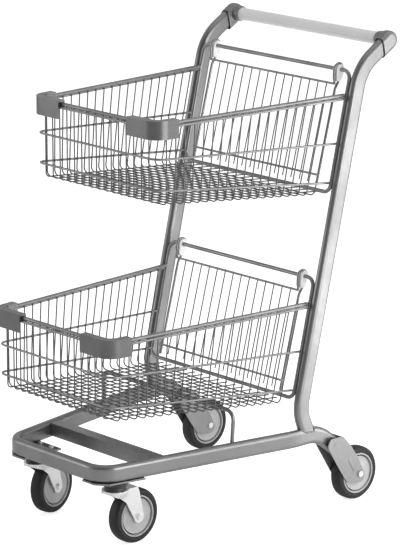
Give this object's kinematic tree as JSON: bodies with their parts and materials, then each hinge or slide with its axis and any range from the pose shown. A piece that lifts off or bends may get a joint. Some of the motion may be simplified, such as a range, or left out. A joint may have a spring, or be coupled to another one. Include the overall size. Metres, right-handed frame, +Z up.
{
  "type": "shopping cart",
  "caption": "Two-tier shopping cart with wire baskets on a tubular frame, hinged rear gates for nesting, swivelling front casters and fixed rear wheels.",
  "frame": {"origin": "centre of the bounding box in plan, on the floor under the wheels", "axes": "+Z up, nose towards -Y, push handle towards +Y, +X across the cart"},
  "size_m": [0.5572, 0.8124, 1.0819],
  "materials": {
    "frame_paint": "satin grey powder coat",
    "wire_paint": "satin grey powder coat over steel wire",
    "grip_plastic": "smooth pale grey plastic",
    "elbow_plastic": "moulded mid grey plastic",
    "gasket_rubber": "black rubber",
    "bumper_plastic": "moulded dark grey plastic",
    "bush_plastic": "pale grey plastic",
    "zinc_plate": "bright zinc plate",
    "housing_dark": "dark bearing housing",
    "fork_paint": "grey powder coat",
    "tyre_rubber": "dark grey rubber",
    "hub_plastic": "moulded grey plastic",
    "bushing_plastic": "black plastic"
  },
  "bodies": {
    "swivel_left": {"axle_front_left": "zinc_plate", "fork_front_left": "zinc_plate"},
    "swivel_right": {"axle_front_right": "zinc_plate", "fork_front_right": "zinc_plate"},
    "frame": {"base_frame": "frame_paint", "caster_head_left": "housing_dark", "caster_head_right": "housing_dark", "caster_plates": "frame_paint", "cross_member": "frame_paint", "elbow_left": "elbow_plastic", "elbow_right": "elbow_plastic", "fork_bolts": "zinc_plate", "fork_rear_left": "fork_paint", "fork_rear_right": "fork_paint", "handle_bar": "frame_paint", "handle_grip": "grip_plastic", "kingpins": "zinc_plate", "lower_bands": "wire_paint", "lower_bumper_left": "bumper_plastic", "lower_bumper_right": "bumper_plastic", "lower_edge_rod": "wire_paint", "lower_floor_wires": "wire_paint", "lower_front_wires": "wire_paint", "lower_loop": "wire_paint", "lower_rim": "wire_paint", "lower_side_wires": "wire_paint", "plate_bolts": "zinc_plate", "rear_axles": "zinc_plate", "seam_rings": "gasket_rubber", "support_rod": "frame_paint", "tail_blocks": "bushing_plastic", "upper_bands": "wire_paint", "upper_bumper_left": "bumper_plastic", "upper_bumper_right": "bumper_plastic", "upper_edge_rod": "wire_paint", "upper_floor_wires": "wire_paint", "upper_front_wires": "wire_paint", "upper_loop": "wire_paint", "upper_rim": "wire_paint", "upper_side_wires": "wire_paint", "upright_left": "frame_paint", "upright_right": "frame_paint"},
    "wheel_front_left": {"bushing_front_left": "bushing_plastic", "hub_front_left": "hub_plastic", "tyre_front_left": "tyre_rubber"},
    "wheel_front_right": {"bushing_front_right": "bushing_plastic", "hub_front_right": "hub_plastic", "tyre_front_right": "tyre_rubber"},
    "wheel_rear_left": {"bushing_rear_left": "bushing_plastic", "hub_rear_left": "hub_plastic", "tyre_rear_left": "tyre_rubber"},
    "wheel_rear_right": {"bushing_rear_right": "bushing_plastic", "hub_rear_right": "hub_plastic", "tyre_rear_right": "tyre_rubber"},
    "lower_gate": {"lower_gate_bushes": "bush_plastic", "lower_gate_frame": "wire_paint", "lower_gate_wires": "wire_paint"},
    "upper_gate": {"upper_gate_bushes": "bush_plastic", "upper_gate_frame": "wire_paint", "upper_gate_wires": "wire_paint"}
  },
  "joints": [
    {"name": "upper_gate_hinge", "type": "hinge", "parent": "frame", "child": "upper_gate", "pos_m": [0, 0.27759, 0.9986], "axis": [-1, 0, 0], "range_deg": [0, 80]},
    {"name": "lower_gate_hinge", "type": "hinge", "parent": "frame", "child": "lower_gate", "pos_m": [0, 0.16932, 0.5406], "axis": [-1, 0, 0], "range_deg": [0, 80]},
    {"name": "swivel_left", "type": "hinge", "parent": "frame", "child": "swivel_left", "pos_m": [-0.134, -0.33508, 0.137], "axis": [0, 0, 1], "continuous": true},
    {"name": "swivel_right", "type": "hinge", "parent": "frame", "child": "swivel_right", "pos_m": [0.134, -0.33508, 0.137], "axis": [0, 0, 1], "continuous": true},
    {"name": "wheel_front_left_spin", "type": "hinge", "parent": "swivel_left", "child": "wheel_front_left", "pos_m": [-0.14481, -0.28422, 0.0625], "axis": [0.9781, 0.2079, 0], "continuous": true},
    {"name": "wheel_front_right_spin", "type": "hinge", "parent": "swivel_right", "child": "wheel_front_right", "pos_m": [0.134, -0.28308, 0.0625], "axis": [1, 0, 0], "continuous": true},
    {"name": "wheel_rear_left_spin", "type": "hinge", "parent": "frame", "child": "wheel_rear_left", "pos_m": [-0.253, 0.28892, 0.0625], "axis": [1, 0, 0], "continuous": true},
    {"name": "wheel_rear_right_spin", "type": "hinge", "parent": "frame", "child": "wheel_rear_right", "pos_m": [0.253, 0.28892, 0.0625], "axis": [1, 0, 0], "continuous": true}
  ]
}
